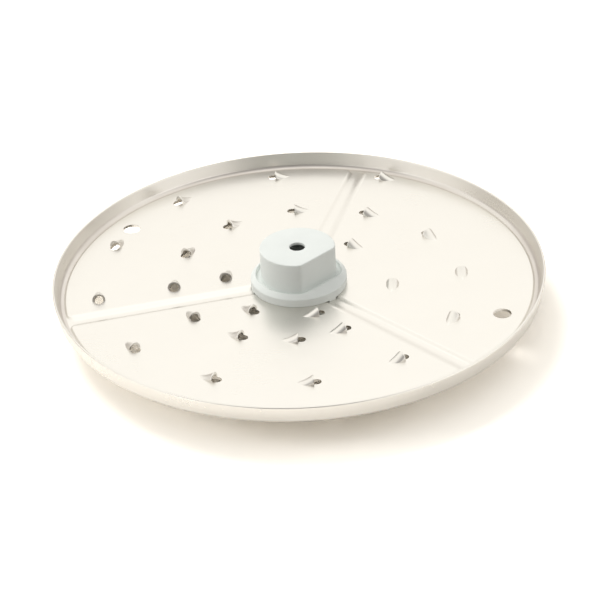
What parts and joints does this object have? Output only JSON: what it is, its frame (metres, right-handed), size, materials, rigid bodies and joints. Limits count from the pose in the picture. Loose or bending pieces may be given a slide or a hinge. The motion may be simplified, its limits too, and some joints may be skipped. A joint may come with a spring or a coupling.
{
  "type": "food processor grating disc",
  "caption": "Round grating disc of pressed steel with an upturned rim, raised panels, radial channels and raised teeth, carried by a moulded plastic hub with a D-shaped boss and a drive socket.",
  "frame": {"origin": "on the disc's axis, at the hub's bottom face", "axes": "+Z along the disc's axis towards the toothed face, with the hub's flat facing between +X and -Y along one channel"},
  "size_m": [0.175, 0.175, 0.027],
  "materials": {
    "steel_sheet": "satin rolled stainless sheet",
    "hub_plastic": "matt moulded, light grey"
  },
  "bodies": {
    "root": {"grating_plate": "steel_sheet", "drive_hub": "hub_plastic"}
  },
  "joints": []
}
